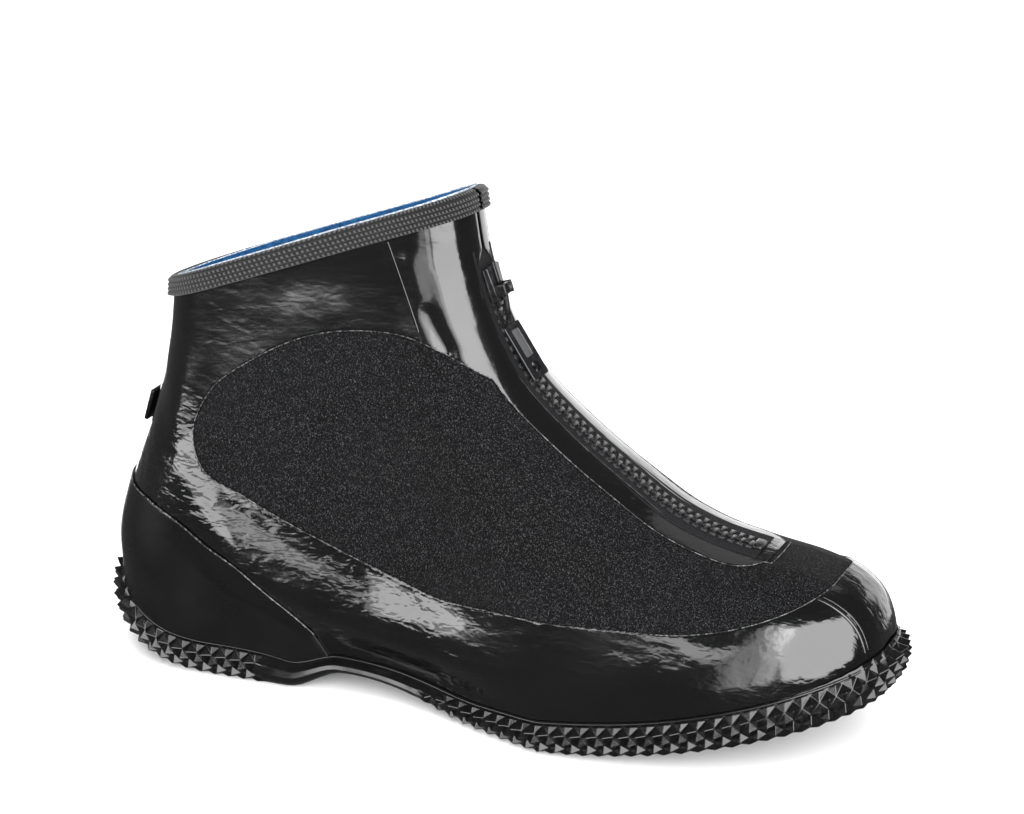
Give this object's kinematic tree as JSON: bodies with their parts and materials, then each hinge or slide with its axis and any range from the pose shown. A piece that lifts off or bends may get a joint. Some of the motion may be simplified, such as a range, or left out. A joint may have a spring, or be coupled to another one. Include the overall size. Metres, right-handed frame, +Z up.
{
  "type": "rubber overshoe with front zip",
  "caption": "Ankle-high rubber overshoe: glossy rubber upper with stretch fabric windows, front zip with hinged pull, ribbed collar and studded sole. Left shoe.",
  "frame": {"origin": "on the floor under the middle of the sole's length and width", "axes": "+X to the toe, +Y to the shoe's outer side, +Z up"},
  "size_m": [0.3098, 0.107, 0.1843],
  "materials": {
    "gloss_rubber": "glossy dipped rubber with a faint orange-peel ripple",
    "satin_rubber": "satin rubber",
    "sole_rubber": "semi-gloss moulded rubber",
    "stretch_knit": "matte fine knit",
    "binding_elastic": "matte ribbed elastic",
    "insole_felt": "matte felt",
    "zip_cloth": "matte woven tape",
    "zip_plastic": "moulded plastic",
    "slider_metal": "gloss black lacquer over metal"
  },
  "bodies": {
    "body": {"upper": "gloss_rubber", "heel_counter": "satin_rubber", "toe_seam": "gloss_rubber", "outsole": "sole_rubber", "stretch_panel": "stretch_knit", "insole": "insole_felt", "collar_binding": "binding_elastic", "zip_tape": "zip_cloth", "zip_teeth": "zip_plastic", "zip_stop": "zip_plastic", "zip_slider": "slider_metal", "heel_tab": "satin_rubber"},
    "pull": {"zip_pull": "slider_metal"}
  },
  "joints": [
    {"name": "pull_hinge", "type": "hinge", "parent": "body", "child": "pull", "pos_m": [0.0092, 0, 0.1492], "axis": [0, 1, 0], "range_deg": [-150, 0]}
  ]
}
